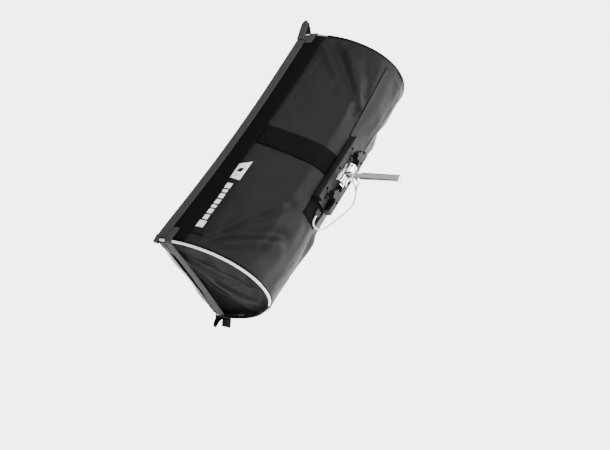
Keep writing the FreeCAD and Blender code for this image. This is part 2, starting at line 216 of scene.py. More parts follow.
# ---------------------------------------------------------------------------
# Floor and light: a plain pale floor well below the bag, a pale room, a large soft light on the
# bag's back, and a second one above its labelled side.
floor_material = bpy.data.materials.new("floor_pale")
floor_material.use_nodes = True
floor_shader = floor_material.node_tree.nodes["Principled BSDF"]
floor_shader.inputs["Base Color"].default_value = (0.9, 0.9, 0.9, 1)
floor_shader.inputs["Roughness"].default_value = 1.0
floor_shader.inputs["Specular IOR Level"].default_value = 0.0
floor_shader.inputs["Emission Color"].default_value = (1, 1, 1, 1)
floor_shader.inputs["Emission Strength"].default_value = 4.4
clean_start()
bpy.ops.mesh.primitive_plane_add(size=40.0, location=(0, 0, -2.5))
floor = bpy.context.object
floor.name = "floor"
floor.data.materials.append(floor_material)

world = bpy.data.worlds.new("room")
bpy.context.scene.world = world
world.use_nodes = True
room = world.node_tree.nodes["Background"]
room.inputs["Color"].default_value = (1, 1, 1, 1)
room.inputs["Strength"].default_value = 0.58

bag_middle = Vector((0, -0.15, 0))
for light_name, direction, distance, size, power in (
    ("key_light", view_right * 0.75 + view_up * 0.45 + view_back * 0.35, 1.9, 0.9, 46.0),
    ("fill_light", view_right * -0.15 + view_up * 0.95 + view_back * 0.60, 2.4, 1.4, 44.0),
):
    light_data = bpy.data.lights.new(light_name, "AREA")
    light_data.shape = "DISK"
    light_data.size = size
    light_data.energy = power
    light = bpy.data.objects.new(light_name, light_data)
    light.location = direction.normalized() * distance + bag_middle
    light.rotation_euler = direction.to_track_quat("Z", "Y").to_euler()
    bpy.context.scene.collection.objects.link(light)

# ---------------------------------------------------------------------------
# Bag shell: one panel of black coated nylon, 0.56 m long, carried round a half-ellipse section
# from one long front edge to the other. It is sewn to the end panels along the piping and to the
# front hem. A cloth simulation slackens it between its seams.
half_length, half_width = 0.280, 0.113
back_y, piping_y, front_y = -0.055, -0.230, -0.255
flat_back, arch_depth = 0.016, 0.1768
turn = np.linspace(math.asin(flat_back / half_width), math.pi / 2, 400)
flat_steps, lip_steps = 16, 40
section_z = np.concatenate(
    [
        np.linspace(0, flat_back, flat_steps + 1)[:-1],
        half_width * np.sin(turn)[:-1],
        np.full(lip_steps, half_width),
    ]
)
section_y = np.concatenate(
    [
        np.full(flat_steps, back_y),
        piping_y + arch_depth * np.cos(turn)[:-1],
        np.linspace(piping_y, front_y, lip_steps),
    ]
)
section_s = np.concatenate([[0], np.cumsum(np.hypot(np.diff(section_z), np.diff(section_y)))])
tangent_y, tangent_z = np.gradient(section_y, section_s), np.gradient(section_z, section_s)
half_girth = float(section_s[-1])
grid_x = np.linspace(-half_length, half_length, 141)
grid_s = np.linspace(-half_girth, half_girth, 129)
relief = np.zeros((len(grid_x), len(grid_s), 3))


def girth_at(y):
    """How far round the section from the back's middle the given depth is."""
    return float(np.interp(-y, -section_y[flat_steps:], section_s[flat_steps:]))


bow_half, edge_bow = 0.262, 0.0088


def bow_shape(along, half):
    """1 in the middle of an edge that bows, and 0 from half its length on."""
    return np.clip(1 - (along / half) ** 2, 0, 1) ** 1.2


def skin(x, s, lift=0.0):
    """The bag's outside at a length x and a distance s round the section, raised by lift. The long
    front edges bow inwards between the corners."""
    x, s = np.broadcast_arrays(np.asarray(x, float), np.asarray(s, float))
    side, a = np.where(s < 0, -1.0, 1.0), np.abs(s)
    y, z = np.interp(a, section_s, section_y), np.interp(a, section_s, section_z) * side
    out_y, out_z = np.interp(a, section_s, tangent_z), -np.interp(a, section_s, tangent_y) * side
    size = np.hypot(out_y, out_z)
    out_y, out_z = out_y / size, out_z / size
    depth = np.clip((-0.13 - y) / 0.125, 0, 1)
    bow = edge_bow * bow_shape(x, bow_half) * depth * depth * (3 - 2 * depth)
    column = np.clip((x + half_length) / (2 * half_length) * (len(grid_x) - 1), 0, len(grid_x) - 1.001)
    row = np.clip((s + half_girth) / (2 * half_girth) * (len(grid_s) - 1), 0, len(grid_s) - 1.001)
    i, j = column.astype(int), row.astype(int)
    u, v = (column - i)[..., None], (row - j)[..., None]
    slack = (
        relief[i, j] * (1 - u) * (1 - v)
        + relief[i + 1, j] * u * (1 - v)
        + relief[i, j + 1] * (1 - u) * v
        + relief[i + 1, j + 1] * u * v
    )
    return np.stack([x, y + out_y * lift, z + out_z * lift - side * bow], axis=-1) + slack


def thicken(piece, thickness):
    """Gives a sheet its thickness, inwards from its outer face."""
    clean_start()
    piece.select_set(True)
    bpy.context.view_layer.objects.active = piece
    body = piece.modifiers.new("thickness", "SOLIDIFY")
    body.thickness = thickness
    body.offset = -1.0
    body.use_even_offset = False
    bpy.ops.object.modifier_apply(modifier=body.name)


def settle(piece, held, slack, weight, bending=2.0):
    """Lets a flat-cut cloth settle between its sewn edges, with a little more cloth than the span
    needs."""
    clean_start()
    piece.select_set(True)
    bpy.context.view_layer.objects.active = piece
    group = piece.vertex_groups.new(name="sewn")
    held = np.asarray(held, float).ravel()
    for share in np.unique(held.round(2)):
        if share > 0:
            group.add([int(k) for k in np.nonzero(held.round(2) == share)[0]], float(share), "REPLACE")
    drape = piece.modifiers.new("drape", "CLOTH")
    drape.settings.quality = 6
    drape.settings.mass = 0.08
    drape.settings.tension_stiffness = 18
    drape.settings.compression_stiffness = 18
    drape.settings.shear_stiffness = 6
    drape.settings.bending_stiffness = bending
    drape.settings.air_damping = 2.0
    drape.settings.vertex_group_mass = "sewn"
    drape.settings.shrink_min = -slack
    drape.settings.effector_weights.gravity = weight
    drape.collision_settings.use_collision = False
    frames = 22
    drape.point_cache.frame_end = frames
    for number in range(1, frames + 1):
        bpy.context.scene.frame_set(number)
    bpy.ops.object.modifier_apply(modifier=drape.name)
    bpy.context.scene.frame_set(1)
    piece.vertex_groups.clear()


def vertices_of(piece):
    """The piece's vertices as an array of (count, 3)."""
    points = np.zeros(len(piece.data.vertices) * 3)
    piece.data.vertices.foreach_get("co", points)
    return points.reshape(-1, 3)


def ridge(x, s, start, end, width, height):
    """A soft straight crease from start to end, each (x, s)."""
    ax, ay = start
    bx, by = end
    length2 = (bx - ax) ** 2 + (by - ay) ** 2
    t = ((x - ax) * (bx - ax) + (s - ay) * (by - ay)) / length2
    d = np.hypot(x - ax - np.clip(t, 0, 1) * (bx - ax), s - ay - np.clip(t, 0, 1) * (by - ay))
    return height * np.exp(-((d / width) ** 2))


nylon = cloth(
    "coated_nylon", (0.0088, 0.0088, 0.0092), 0.47, 0.0007, 0.25, mottle=0.18, crease=0.35, specular=0.30, ior=1.27
)
flat_x, flat_s = np.meshgrid(grid_x, grid_s, indexing="ij")
before = skin(flat_x, flat_s)
shell = mesh_from("bag_shell_nylon", before, nylon, uv=np.stack([flat_x, flat_s], axis=-1))
held = np.zeros_like(flat_x)
held[np.abs(flat_x) > 0.2735] = 1
held[np.abs(flat_s) > 0.2300] = 1
held[(np.abs(flat_x) < 0.082) & (np.abs(flat_s) < 0.056)] = 1
held[(np.abs(flat_s) > 0.178) & (np.abs(flat_s) <= 0.2300)] = 0.35
settle(shell, held, slack=0.004, weight=0.25)
sewn_edge = np.clip((half_length - np.abs(flat_x)) / 0.03, 0, 1) * np.clip((0.232 - np.abs(flat_s)) / 0.05, 0, 1)
past_bracket = (np.maximum(np.abs(flat_x) - 0.08, 0) / 0.02) ** 2 + (np.maximum(np.abs(flat_s) - 0.05, 0) / 0.02) ** 2
sewn_edge *= 1 - np.exp(-past_bracket)
creases = sum(
    ridge(flat_x, flat_s, start, end, width, height)
    for start, end, width, height in (
        ((0.262, 0.156), (0.130, 0.064), 0.0060, 0.0022),
        ((0.262, 0.144), (0.120, 0.050), 0.0090, -0.0022),
        ((0.255, 0.110), (0.200, 0.030), 0.0120, 0.0030),
        ((0.235, 0.120), (0.180, 0.030), 0.0110, -0.0026),
        ((-0.262, 0.190), (-0.140, 0.060), 0.0120, 0.0034),
        ((-0.262, 0.160), (-0.135, 0.048), 0.0110, -0.0036),
        ((-0.256, 0.120), (-0.150, 0.040), 0.0100, 0.0030),
        ((-0.262, 0.085), (-0.180, 0.045), 0.0080, -0.0024),
        ((-0.262, -0.170), (-0.120, -0.060), 0.0130, 0.0034),
        ((-0.262, -0.130), (-0.130, -0.050), 0.0110, -0.0034),
        ((0.262, -0.160), (0.120, -0.070), 0.0120, 0.0034),
        ((0.255, -0.120), (0.120, -0.045), 0.0110, -0.0030),
    )
)
ripple = np.array(
    [
        [
            noise.noise(Vector((x * 11, s * 15, 2.0))) + 0.5 * noise.noise(Vector((x * 27, s * 34, 7.0)))
            for s in grid_s
        ]
        for x in grid_x
    ]
)
outward = skin(flat_x, flat_s, 1.0) - before
# The slack is kept at a third of its depth, or the cloth would sink onto the saddles.
slack_share, crease_gain, ripple_height = 0.35, 1.50, 0.0022
relief[...] = (vertices_of(shell).reshape(before.shape) - before) * slack_share
relief += outward * ((creases * crease_gain + ripple * ripple_height) * sewn_edge)[..., None]
shell.data.vertices.foreach_set("co", skin(flat_x, flat_s).ravel())
shell.data.update()
thicken(shell, 0.0011)
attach(shell, "bag")
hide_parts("shell")


def patch(name, x0, x1, s0, s1, lift, thickness, material, node, step=0.004):
    """A flat-cut strip sewn to the bag: it follows the shell's slackened surface."""
    xs = np.linspace(x0, x1, max(3, int(abs(x1 - x0) / step) + 1))
    ss = np.linspace(s0, s1, max(3, int(abs(s1 - s0) / step) + 1))
    px, ps = np.meshgrid(xs, ss, indexing="ij")
    edge = np.minimum(np.minimum(px - x0, x1 - px), np.minimum(ps - s0, s1 - ps))
    seam_share, seam_width = 0.35, 0.003
    puff = thickness * (seam_share + (1 - seam_share) * np.clip(edge / seam_width, 0, 1))
    piece = mesh_from(name, skin(px, ps, lift + puff), material, uv=np.stack([px, ps], axis=-1))
    thicken(piece, thickness * seam_share)
    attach(piece, "bag")
    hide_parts(node)
    return piece


# ---------------------------------------------------------------------------
# Lining: thin white cloth a few millimetres inside the shell, sewn in at the hems. It throws the
# lamps' light forward.
white_lining = cloth("white_lining", (0.78, 0.78, 0.77), 0.65, 0.0006, 0.2, mottle=0.05, crease=0.2)
lining_s = girth_at(-0.2347)
lx, ls = np.meshgrid(np.linspace(-0.2785, 0.2785, 100), np.linspace(-lining_s, lining_s, 100), indexing="ij")
lining = mesh_from("lining_white", skin(lx, ls, -0.0028), white_lining, uv=np.stack([lx, ls], axis=-1))
thicken(lining, 0.0005)
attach(lining, "bag")
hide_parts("lining")

# ---------------------------------------------------------------------------
# Loop tape: black fuzzy strips, 44 to 50 mm wide, sewn along both long edges, round the middle of
# the body and under the bracket. They take accessories.
loop_tape = cloth(
    "loop_tape",
    (0.0095, 0.0095, 0.0098),
    0.95,
    0.0013,
    0.9,
    mottle=0.85,
    crease=0.9,
    specular=0.03,
    blotch=330.0,
    ior=1.1,
)
strip_in, strip_out = girth_at(-0.186), girth_at(-0.230)
for side, name in ((1, "top"), (-1, "bottom")):
    for kind, half, s0, s1 in (
        ("loop_strip_", 0.279, side * strip_in, side * strip_out),
        ("side_strip_", 0.025, side * 0.0245, side * (strip_in - 0.0004)),
    ):
        patch(kind + name + "_fuzzy", -half, half, s0, s1, 0.0001, 0.0016, loop_tape, kind + name)
patch("rear_strip_fuzzy", -0.082, 0.118, -0.024, 0.024, 0.0001, 0.0014, loop_tape, "rear_strip")

# ---------------------------------------------------------------------------
# Webbing: flat grey nylon webbing, 24 mm wide, laid along the two long front edges of the shell
# and sewn down.
webbing_grey = cloth("grey_webbing", (0.050, 0.050, 0.051), 0.75, 0.0016, 0.7, mottle=0.14, specular=0.2, ior=1.3)
webbing_in, webbing_out = girth_at(-0.2306), girth_at(-0.2546)
for side, name in ((1, "top"), (-1, "bottom")):
    patch(
        "webbing_%s_woven" % name,
        -half_length,
        half_length,
        side * webbing_in,
        side * webbing_out,
        0.0002,
        0.0018,
        webbing_grey,
        "webbing_" + name,
        step=0.003,
    )

# ---------------------------------------------------------------------------
# End panels: half-round black nylon, closed, sewn to the shell along the piping. Slack cloth falls
# in one long fold, and the front edge bows inwards. White cloth lines the inside.


def end_bow(y, z):
    """How far the end's front edge bows in towards the bag's middle."""
    near = np.clip((-0.17 - y) / 0.085, 0, 1)
    return 0.0130 * bow_shape(z, 0.088) * near * near * (3 - 2 * near)


end_nylon = cloth(
    "end_nylon", (0.0105, 0.0102, 0.0098), 0.50, 0.0007, 0.25, mottle=0.3, crease=0.5, specular=0.2, ior=1.10
)
panel_front = -0.2547
panel_z, panel_v = np.meshgrid(np.linspace(-0.1104, 0.1104, 70), np.linspace(0, 1, 60), indexing="ij")
for side, name in ((1, "right"), (-1, "left")):
    panel_back = piping_y + 0.1740 * np.sqrt(np.clip(1 - (panel_z / 0.1114) ** 2, 0, 1))
    panel_y = panel_front + (panel_back - panel_front) * panel_v
    seam = np.clip((1 - panel_v) / 0.18, 0, 1) * np.clip((0.1110 - np.abs(panel_z)) / 0.022, 0, 1)
    seam = seam * np.clip((panel_y + 0.236) / 0.035, 0, 1)
    across = (panel_z * side - 0.068) * 0.868 + (panel_y + 0.206) * 0.496
    valley = np.clip(1 - np.where(across > 0, across / 0.055, -across / 0.085), 0, 1) ** 1.1
    second = ridge(panel_y, panel_z, (-0.175, -0.005 * side), (-0.105, -0.045 * side), 0.012, 1.0)
    third = ridge(panel_y, panel_z, (-0.205, 0.010 * side), (-0.160, -0.085 * side), 0.011, 1.0)
    belly = ridge(panel_y, panel_z, (-0.150, -0.070 * side), (-0.110, -0.050 * side), 0.030, 1.0)
    hollow = np.exp(-(((panel_y + 0.205) / 0.030) ** 2) - (((panel_z * side + 0.020) / 0.075) ** 2))
    folds = 0.0045 - 0.0105 * valley - 0.0030 * second + 0.0035 * third - 0.0020 * belly + 0.0065 * hollow
    inward = end_bow(panel_y, panel_z) + seam * folds
    rows = np.stack([side * (0.2807 - inward), panel_y, panel_z], axis=-1)
    if side < 0:
        rows = rows[::-1]
    panel = mesh_from("end_panel_%s_nylon" % name, rows, end_nylon, uv=rows[..., 1:])
    held = np.where((panel_v > 0.97) | (panel_v < 0.03) | (np.abs(panel_z) > 0.1085), 1.0, 0.0)
    settle(panel, held, slack=0.006, weight=0.25)
    points = vertices_of(panel).reshape(rows.shape)
    crease_line = ridge(points[..., 1], points[..., 2], (-0.206, 0.068 * side), (-0.080, -0.004 * side), 0.0016, 0.0016)
    points[..., 0] += side * crease_line * (seam if side > 0 else seam[::-1])
    farthest_out = 0.2900
    points[..., 0] = side * np.minimum(side * points[..., 0], farthest_out)
    panel.data.vertices.foreach_set("co", points.ravel())
    lining_gap = 0.0016
    inner = points.copy()
    inner[..., 0] -= side * lining_gap
    thicken(panel, 0.0009)
    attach(panel, "bag")
    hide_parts("end_panel_" + name)
    backing = mesh_from("end_lining_" + name, inner, white_lining, uv=rows[..., 1:])
    thicken(backing, 0.0004)
    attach(backing, "bag")

# ---------------------------------------------------------------------------
# Seam piping: white vinyl-covered cord, 4.4 mm thick, sewn into the seam between shell and end
# panel, round each half-round end. Parts of it sink into the seam.
piping_white = cloth("white_piping", (0.86, 0.86, 0.85), 0.35, 0.0016, 0.25, mottle=0.04, specular=0.5)
around = np.linspace(-math.pi / 2, math.pi / 2, 121)
piping_half = 0.11175
piping_y_line = np.concatenate(
    [[-0.249, -0.243, -0.236], piping_y + 0.175 * np.cos(around), [-0.236, -0.243, -0.249]]
)
piping_z_line = np.concatenate([[-piping_half] * 3, piping_half * np.sin(around), [piping_half] * 3])
for side, name in ((1, "right"), (-1, "left")):
    if side > 0:
        tuck = 0.0028 * np.clip((-0.030 - piping_z_line) / 0.025, 0, 1)
    else:
        tuck = 0.0030 * np.clip((piping_y_line + 0.205) / 0.03, 0, 1)
    line = np.stack(
        [
            side * (0.28375 + 0.25 * tuck),
            piping_y_line - 0.8 * tuck,
            piping_z_line * (1 - tuck / piping_half),
        ],
        axis=-1,
    )
    if side > 0:
        line = line[1:-1]
    piping = tube("piping_%s_vinyl" % name, line, 0.0022, 14, piping_white)
    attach(piping, "bag")
    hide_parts("piping_" + name)

# ---------------------------------------------------------------------------
# Turned seams: at the left end a rolled black edge of the shell's cloth, the welt, hides most of
# the piping from behind. At the right end the end panel's cloth is folded over the lower seam.
welt_line = np.stack(
    [np.full(len(around), -0.2818), piping_y + 0.1752 * np.cos(around), 0.1126 * np.sin(around)], axis=-1
)[4:-10]
welt = tube("seam_welt_left", welt_line, 0.0021, 10, nylon)
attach(welt, "bag")
fold_start = -0.42
low = np.linspace(-math.pi / 2 + 0.02, fold_start, 60)
roll = 0.0046 * np.clip((fold_start - low) / 0.25, 0, 1)
fold_line = np.stack(
    [
        0.2836 + roll,
        piping_y + (0.1735 - 1.1 * roll) * np.cos(low),
        (0.1103 - 1.2 * roll) * np.sin(low),
    ],
    axis=-1,
)
fold_over = tube("seam_fold_right", fold_line, 0.0027, 10, end_nylon)
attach(fold_over, "bag")

# ---------------------------------------------------------------------------
# Sprung frame: four thin steel rods in the front hem, held by the corner sockets. They bow inwards
# as the cloth pulls on them.
spring_steel = bpy.data.materials.new("spring_steel_rod")
spring_steel.use_nodes = True
rod_nodes, rod_link = spring_steel.node_tree.nodes, spring_steel.node_tree.links.new
rod_shader = rod_nodes["Principled BSDF"]
rod_shader.inputs["Metallic"].default_value = 1.0
rod_shader.inputs["Base Color"].default_value = (0.55, 0.55, 0.56, 1)
rod_marks = rod_nodes.new("ShaderNodeTexNoise")
rod_marks.inputs["Scale"].default_value = 180.0
rod_gloss = rod_nodes.new("ShaderNodeMapRange")
rod_gloss.inputs["To Min"].default_value = 0.22
rod_gloss.inputs["To Max"].default_value = 0.45
rod_link(rod_nodes.new("ShaderNodeTexCoord").outputs["Object"], rod_marks.inputs["Vector"])
rod_link(rod_marks.outputs["Fac"], rod_gloss.inputs["Value"])
rod_link(rod_gloss.outputs["Result"], rod_shader.inputs["Roughness"])
rod_y = -0.241
long_x = np.linspace(-0.2695, 0.2695, 61)
short_z = np.linspace(-0.1013, 0.1013, 41)
for side, name in ((1, "top"), (-1, "bottom"), (1, "right"), (-1, "left")):
    if name in ("top", "bottom"):
        drop = edge_bow * bow_shape(long_x, bow_half)
        line = np.stack([long_x, np.full(len(long_x), rod_y), side * (0.1052 - drop)], axis=-1)
    else:
        line = np.stack([side * (0.2732 - end_bow(front_y, short_z)), np.full(len(short_z), rod_y), short_z], axis=-1)
    rod = tube("sprung_rod_" + name, line, 0.0028, 10, spring_steel)
    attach(rod, "bag")
    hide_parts("frame_rod_" + name)

# ---------------------------------------------------------------------------
# End hems: the grey webbing carried along each end panel's front edge and sewn down. It bows
# inwards with the cloth between the two corners.
hem_half = 0.1077
hz, hy = np.meshgrid(np.linspace(-hem_half, hem_half, 80), np.linspace(-0.2549, -0.2412, 7), indexing="ij")
wave = 0.00054 * np.sin(hz * 95 + 0.6) * (1 - (hz / hem_half) ** 2)
for side, name in ((1, "right"), (-1, "left")):
    rows = np.stack([side * (0.2829 - end_bow(hy, hz) * 1.02 + wave), hy, hz], axis=-1)
    if side < 0:
        rows = rows[::-1]
    hem = mesh_from("hem_%s_webbing" % name, rows, webbing_grey, uv=rows[..., [2, 1]])
    thicken(hem, 0.0016)
    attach(hem, "bag")
    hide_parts("hem_" + name)

# ---------------------------------------------------------------------------
# End straps: grey webbing, 17.6 mm wide, sewn on the two long sides and drawn straight across each
# end over the piping.
strap_half = 0.0088
strap_lead = [(p[0], p[2]) for p in skin(np.array([0.2545, 0.2600, 0.2660, 0.2720]), girth_at(-0.222), 0.0034)]
strap_run = strap_lead + [
    (0.2790, 0.1166),
    (0.2850, 0.1160),
    (0.2884, 0.1118),
    (0.2884, 0.1040),
    (0.2876, 0.0800),
    (0.2866, 0.0400),
    (0.2864, 0.0),
]
strap_run = np.array(strap_run + [(x, -z) for x, z in reversed(strap_run[:-1])])
for _ in range(3):
    cut = np.stack(
        [strap_run[:-1] * 0.75 + strap_run[1:] * 0.25, strap_run[:-1] * 0.25 + strap_run[1:] * 0.75], axis=1
    )
    strap_run = np.concatenate([strap_run[:1], cut.reshape(-1, 2), strap_run[-1:]])
for side, name in ((1, "right"), (-1, "left")):
    rows = np.array(
        [
            [
                (side * x, -0.2232 + 0.0040 * z / 0.11 + strap_half * v, z * (1 - 0.002 * v * v))
                for v in np.linspace(-1, 1, 7)
            ]
            for x, z in strap_run
        ]
    )
    if side > 0:
        rows = rows[::-1]
    strap = mesh_from("end_strap_%s_webbing" % name, rows, webbing_grey)
    thicken(strap, 0.0013)
    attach(strap, "bag")
    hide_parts("end_strap_" + name)

# ---------------------------------------------------------------------------
# Corner ears: the front webbing runs past each corner of the frame and is pinched there. A black
# triangle of the hem's cloth lies beside each ear.
for side_x, side_z, begin, reach, rise, back, blunt, wide, fold, name in (
    (-1, 1, 0.2660, 0.0365, 0.0070, -0.0010, 0.0088, 0.0092, 0.0010, "left_top"),
    (-1, -1, 0.2660, 0.018, 0.0, 0.0, 0.0030, 0.0118, 0.0070, "left_bottom"),
    (1, 1, 0.2740, 0.0068, -0.0010, 0.0040, 0.0014, 0.0085, 0.0070, "right_top"),
    (1, -1, 0.2740, 0.0240, 0.0085, 0.0160, 0.0012, 0.0080, 0.0070, "right_bottom"),
):
    for layer, material in (("webbing", webbing_grey), ("cloth", end_nylon)):
        u, v = np.meshgrid(np.linspace(0, 1, 16), np.linspace(-1, 1, 11), indexing="ij")
        if layer == "webbing":
            half = (wide - blunt) * (1 - u ** 2.2) + blunt * (1 - 0.6 * u ** 12)
            centre = -0.2546 + wide - (0.0212 - wide) * u + back * u
            top = 0.1152 + rise * u - fold * u * np.abs(v) ** 1.6
            start = begin
        else:
            half = 0.0140 * (1 - u) + 0.0012
            centre = -0.2400 - 0.0140 * u + back * u
            top = 0.1105 + (rise - 0.001) * u - 0.0030 * u * np.abs(v) + 0.0012 * np.sin(u * 6 + v)
            start = 0.2790
        out = start + (reach + 0.2825 - start) * u
        rows = np.stack([side_x * out, centre + half * v, side_z * top], axis=-1)
        if side_x * side_z < 0:
            rows = rows[::-1]
        ear = mesh_from("corner_ear_%s_%s" % (name, layer), rows, material)
        thicken(ear, 0.0012)
        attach(ear, "bag")
        if layer == "webbing":
            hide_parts("corner_tab_" + name)

# ---------------------------------------------------------------------------
# Strap tail: the right end strap's cut end, grey webbing, left standing out as a square tab below
# its lower seam.
tu, tv = np.meshgrid(np.linspace(0, 1, 10), np.linspace(0, 1, 10), indexing="ij")
tail_rows = np.stack(
    [
        0.2815 + 0.0215 * tu + 0.0010 * tv,
        -0.2385 + 0.0235 * tv + 0.0120 * tu,
        -0.1165 - 0.0015 * np.sin(tu * 2.2),
    ],
    axis=-1,
)
tail = mesh_from("end_strap_tail", tail_rows[::-1], webbing_grey)
thicken(tail, 0.0013)
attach(tail, "bag")

# ---------------------------------------------------------------------------
# Rear flap: a long black nylon flap over the back's opening, sewn at its far end, with two free
# long edges that stand a little off the shell.
flap_far, flap_near = -0.2665, -0.0800
fx, fv = np.meshgrid(np.linspace(flap_far, flap_near, 70), np.linspace(-1, 1, 33), indexing="ij")
flap_half = np.interp(fx, [flap_far, flap_near], [0.0385, 0.0265])
free_edge = np.exp(-(1 - np.abs(fv)) / 0.10) * np.clip((fx - flap_far) / 0.02, 0, 1)
end_seam = ridge(fx, fv * 0.03, (-0.2600, -0.03), (-0.2600, 0.03), 0.0016, 0.0007)
flap_waves = 0.0007 * np.sin(fx * 60 + fv * 1.5) * (1 - fv**2)
rows = skin(fx, fv * flap_half, 0.0009 + 0.0021 * free_edge + end_seam + flap_waves)
flap = mesh_from("rear_flap_nylon", rows, nylon, uv=np.stack([fx, fv * flap_half], axis=-1))
thicken(flap, 0.0011)
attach(flap, "bag")
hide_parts("rear_flap")

# ---------------------------------------------------------------------------
# Label: a black printed tape, 186 mm by 28 mm, sewn beside the upper loop strip, with a white
# patch at its inner end. The printing is plain generic marks.
label_black = cloth("label_black", (0.0050, 0.0050, 0.0052), 0.5, 0.0008, 0.2, mottle=0.1, specular=0.10)
label_white = cloth("label_white", (0.82, 0.82, 0.82), 0.5, 0.0008, 0.15, mottle=0.03, specular=0.3)
label_in, label_out = girth_at(-0.1582), girth_at(-0.1856)
tape = patch(
    "label_tape_printed",
    0.072,
    0.258,
    label_in,
    label_out,
    0.0001,
    0.0012,
    label_black,
    "label_tape",
    step=0.003,
)
label_mid = label_out - 0.0098
patch_in, patch_out = label_out - 0.0235, label_out - 0.0012
pv, pu = np.meshgrid(np.linspace(0, 1, 9), np.linspace(0, 1, 17), indexing="ij")
patch_end = 0.1190
patch_x = patch_end + (np.interp(pv, [0, 0.25, 1], [0.0700, 0.0745, 0.0840]) - patch_end) * (1 - pu)
patch_s = patch_in + (patch_out - patch_in) * pv
patch_flat = np.stack([patch_x, patch_s], axis=-1)
white_patch = mesh_from("label_patch_white", skin(patch_x, patch_s, 0.0020)[::-1], label_white, uv=patch_flat[::-1])
thicken(white_patch, 0.0006)
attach(white_patch, "bag")
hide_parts("label_patch")


def printed(name, outline, lift, material):
    """A flat printed mark: a four-cornered outline of (x, s) filled along the tape's surface."""
    p, q = np.meshgrid(np.linspace(0, 1, 7), np.linspace(0, 1, 7), indexing="ij")
    shares = ((1 - p) * (1 - q), p * (1 - q), p * q, (1 - p) * q)
    px = sum(corner[0] * share for corner, share in zip(outline, shares))
    ps = sum(corner[1] * share for corner, share in zip(outline, shares))
    mark = mesh_from(name, skin(px, ps, lift), material, uv=np.stack([px, ps], axis=-1))
    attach(mark, "bag")


mark_start, mark_lean, mark_gap = 0.1300, 0.002, 0.0035
for number, (width, height) in enumerate(
    (
        (0.012, 0.012),
        (0.007, 0.010),
        (0.011, 0.010),
        (0.011, 0.010),
        (0.007, 0.010),
        (0.011, 0.010),
        (0.011, 0.010),
        (0.016, 0.015),
    )
):
    low_s, high_s = label_mid - height / 2, label_mid + height / 2
    outline = [
        (mark_start, low_s),
        (mark_start + width, low_s),
        (mark_start + width + mark_lean, high_s),
        (mark_start + mark_lean, high_s),
    ]
    printed("label_mark_%d" % number, outline, 0.00145, label_white)
    mark_start += width + mark_gap
for number, (x0, x1, s0, s1) in enumerate(
    (
        (0.090, 0.101, -0.008, 0.004),
        (0.1065, 0.1078, -0.010, 0.006),
        (0.1105, 0.1115, -0.009, 0.003),
    )
):
    outline = [
        (x0, label_mid + s0),
        (x1, label_mid + s0 + 0.002),
        (x1 + 0.001, label_mid + s1),
        (x0 + 0.003, label_mid + s1 - 0.003),
    ]
    printed("label_dark_mark_%d" % number, outline, 0.00215, label_black)

# ---------------------------------------------------------------------------
# Front cloth: white diffusion cloth over the open front, slack enough to belly forward, on a black
# hook border that grips the hems.
diffusion = cloth("white_diffusion", (0.86, 0.86, 0.85), 0.75, 0.0006, 0.25, mottle=0.04, crease=0.2)
cloth_x, cloth_z, long_pull = 0.2795, 0.1126, 0.078
dx, dz = np.meshgrid(np.linspace(-cloth_x, cloth_x, 130), np.linspace(-cloth_z, cloth_z, 56), indexing="ij")
rim = np.clip((cloth_x - np.abs(dx)) / 0.03, 0, 1) * np.clip((cloth_z - np.abs(dz)) / 0.03, 0, 1)
bulge = np.exp(-(((np.abs(dx) - 0.270) / 0.03) ** 2) - (((np.abs(dz + 0.010) - 0.050) / 0.035) ** 2))
belly = 0.0030 * rim + 0.0095 * bulge
long_bow = 1 - long_pull * bow_shape(dx, bow_half)
rows = np.stack([dx, -0.2566 - belly, dz * long_bow], axis=-1)
front = mesh_from("front_cloth_diffusion", rows[::-1], diffusion, uv=np.stack([dx, dz], axis=-1)[::-1])
settle(front, np.where(rim[::-1] < 0.2, 1.0, 0.0), slack=0.004, weight=0.3, bending=0.5)
farthest_forward, border_front = -0.2665, -0.2557
points = vertices_of(front)
points[:, 1] = np.clip(points[:, 1], farthest_forward, border_front)
front.data.vertices.foreach_set("co", points.ravel())
thicken(front, 0.0006)
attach(front, "front_cloth")
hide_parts("diffuser")

corner_turn = [(1, 1), (-1, 1), (-1, -1), (1, -1)]
loops = []
for inset in (0.0, 0.006, 0.013, 0.020):
    loop = []
    for k in range(4):
        (sx, sz), (nx, nz) = corner_turn[k], corner_turn[(k + 1) % 4]
        for t in np.linspace(0, 1, 40, endpoint=False):
            x = (sx * (1 - t) + nx * t) * (0.2788 - inset)
            z = (sz * (1 - t) + nz * t) * (0.1112 - inset)
            z *= 1 - long_pull * float(bow_shape(x, bow_half))
            loop.append((x, -0.2546 + 0.0002 * math.sin(x * 300), z))
    loops.append(loop)
border = mesh_from("front_cloth_hook_border", np.array(loops), loop_tape, closed=True)
thicken(border, 0.0008)
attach(border, "front_cloth")
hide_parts("diffuser_border")

# ---------------------------------------------------------------------------
# Cord's ends: a stitched webbing tab on the rear strip, and the braided loop round the stud's
# neck, closed by a bound collar.
clean_start()
bpy.ops.mesh.primitive_cube_add(size=1.0, location=(0.0932, -0.0507, -0.0050))
tab = bpy.context.object
tab.name = "cord_anchor_tab"
tab.scale = (0.0132, 0.0044, 0.0130)
bpy.ops.object.transform_apply(location=True, rotation=True, scale=True)
bpy.ops.object.mode_set(mode="EDIT")
bpy.ops.mesh.select_all(action="SELECT")
bpy.ops.mesh.bevel(offset=0.0016, segments=3, affect="EDGES")
bpy.ops.mesh.select_all(action="DESELECT")
bpy.ops.object.mode_set(mode="OBJECT")
for polygon in tab.data.polygons:
    polygon.select = polygon.normal.y > 0.95
bpy.ops.object.mode_set(mode="EDIT")
bpy.ops.mesh.inset(thickness=0.0012, depth=-0.0005)
bpy.ops.object.mode_set(mode="OBJECT")
bpy.ops.object.shade_smooth_by_angle(angle=0.6)
tab.data.materials.append(webbing_grey)
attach(tab, "bag")
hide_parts("cord_anchor")

